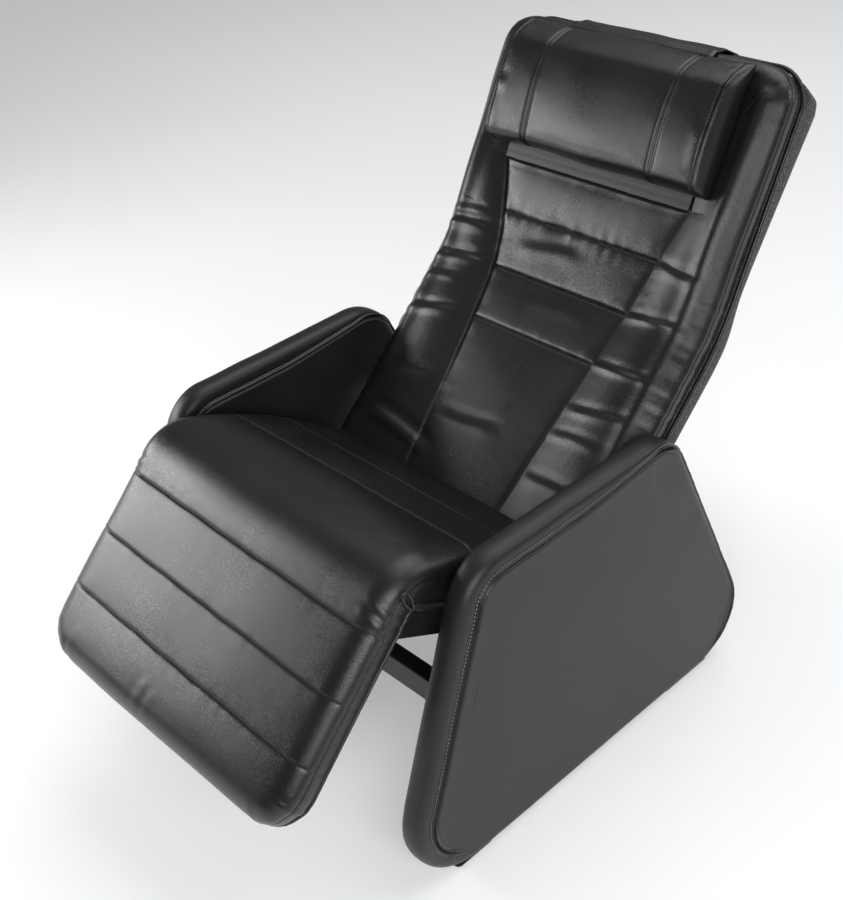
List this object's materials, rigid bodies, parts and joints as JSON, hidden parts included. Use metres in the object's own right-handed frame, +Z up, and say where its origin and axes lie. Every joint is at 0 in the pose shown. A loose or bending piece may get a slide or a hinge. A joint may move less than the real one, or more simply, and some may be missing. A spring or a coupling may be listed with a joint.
{
  "type": "vibroacoustic recliner chair",
  "caption": "Padded zero gravity recliner with slab arms, a one-piece seat and legrest, a tall sewn back with a head pillow, powered tilt and recline, and sound drivers under the pads.",
  "frame": {"origin": "floor level under the middle of the overall box", "axes": "+Z up, -Y the way the sitter faces, +X the sitter's left"},
  "size_m": [0.7473, 1.2765, 1.0573],
  "materials": {
    "leather": "satin black faux leather",
    "fabric": "speckled black woven fabric",
    "plywood": "bare plywood",
    "steel": "satin black paint",
    "bright_steel": "bright zinc plated",
    "black_metal": "satin black",
    "plastic": "satin black",
    "nylon": "natural nylon",
    "rubber": "matt black"
  },
  "bodies": {
    "base": {"arm_cover_left": "leather", "arm_cover_right": "leather", "arm_board_left": "plywood", "arm_board_right": "plywood", "foot_front_left": "rubber", "foot_front_right": "rubber", "foot_rear_left": "rubber", "foot_rear_right": "rubber", "front_cross_rail": "steel", "rear_cross_rail": "steel", "pivot_bracket_left": "steel", "pivot_bracket_right": "steel", "tilt_tail_pin": "bright_steel", "amplifier_case": "black_metal", "amplifier_panel": "steel", "switch_bezel": "plastic"},
    "seat": {"seat_rail_left": "steel", "seat_rail_right": "steel", "leg_rail_left": "steel", "leg_rail_right": "steel", "pivot_bush_left": "nylon", "pivot_bush_right": "nylon", "back_hinge_pin_left": "bright_steel", "back_hinge_pin_right": "bright_steel", "tilt_torque_tube": "steel", "tilt_lever_pin": "bright_steel", "knee_cross_tube": "steel", "back_tail_pin": "bright_steel", "leg_cross_tube": "steel", "seat_deck": "plywood", "leg_deck": "plywood", "leg_back_panel": "fabric", "seat_leg_pad": "leather", "seat_driver": "black_metal", "leg_driver": "black_metal"},
    "back": {"back_rail_left": "steel", "back_rail_right": "steel", "back_torque_tube": "steel", "back_lever_pin": "bright_steel", "back_mid_tube": "steel", "back_top_tube": "steel", "back_deck": "plywood", "back_pad": "leather", "rear_cover": "fabric", "back_welt": "leather", "crease_apron": "leather", "head_pillow": "leather", "pillow_flap": "leather", "back_driver_lower": "black_metal", "back_driver_upper": "black_metal"},
    "tilt_actuator": {"tilt_actuator_case": "plastic", "tilt_actuator_motor": "black_metal"},
    "tilt_rod": {"tilt_actuator_rod": "bright_steel"},
    "back_actuator": {"back_actuator_case": "plastic", "back_actuator_motor": "black_metal"},
    "back_rod": {"back_actuator_rod": "bright_steel"},
    "tilt_switch": {"tilt_rocker": "plastic"},
    "back_switch": {"back_rocker": "plastic"}
  },
  "joints": [
    {"name": "seat_tilt", "type": "hinge", "parent": "base", "child": "seat", "pos_m": [0, -0.05, 0.314], "axis": [-1, 0, 0], "range_deg": [-15, 18]},
    {"name": "back_recline", "type": "hinge", "parent": "seat", "child": "back", "pos_m": [0, 0.01745, 0.27814], "axis": [-1, 0, 0], "range_deg": [0, 22]},
    {"name": "tilt_actuator_swing", "type": "hinge", "parent": "base", "child": "tilt_actuator", "pos_m": [-0.09, 0.225, 0.14], "axis": [-1, 0, 0], "range_deg": [-1.3, 1.6]},
    {"name": "tilt_rod_slide", "type": "slide", "parent": "tilt_actuator", "child": "tilt_rod", "axis": [0, -0.9578, 0.2875], "range_m": [-0.024, 0.029]},
    {"name": "back_actuator_swing", "type": "hinge", "parent": "seat", "child": "back_actuator", "pos_m": [0.09, -0.27831, 0.40389], "axis": [-1, 0, 0], "range_deg": [-0.5, 4]},
    {"name": "back_rod_slide", "type": "slide", "parent": "back_actuator", "child": "back_rod", "axis": [0, 0.7949, -0.6068], "range_m": [-0.036, 0.001]},
    {"name": "tilt_rocker_press", "type": "hinge", "parent": "base", "child": "tilt_switch", "pos_m": [-0.37, -0.222, 0.455], "axis": [0, 0, 1], "range_deg": [-5, 5], "stiffness_Nm_per_rad": 0.5},
    {"name": "back_rocker_press", "type": "hinge", "parent": "base", "child": "back_switch", "pos_m": [-0.37, -0.178, 0.455], "axis": [0, 0, 1], "range_deg": [-5, 5], "stiffness_Nm_per_rad": 0.5}
  ],
  "couplings": [
    {"joint": "tilt_actuator_swing", "follows": "seat_tilt", "ratio": 0.0688},
    {"joint": "tilt_rod_slide", "follows": "seat_tilt", "m_per_rad": 0.0862},
    {"joint": "back_actuator_swing", "follows": "back_recline", "ratio": 0.1392},
    {"joint": "back_rod_slide", "follows": "back_recline", "m_per_rad": -0.0861}
  ]
}
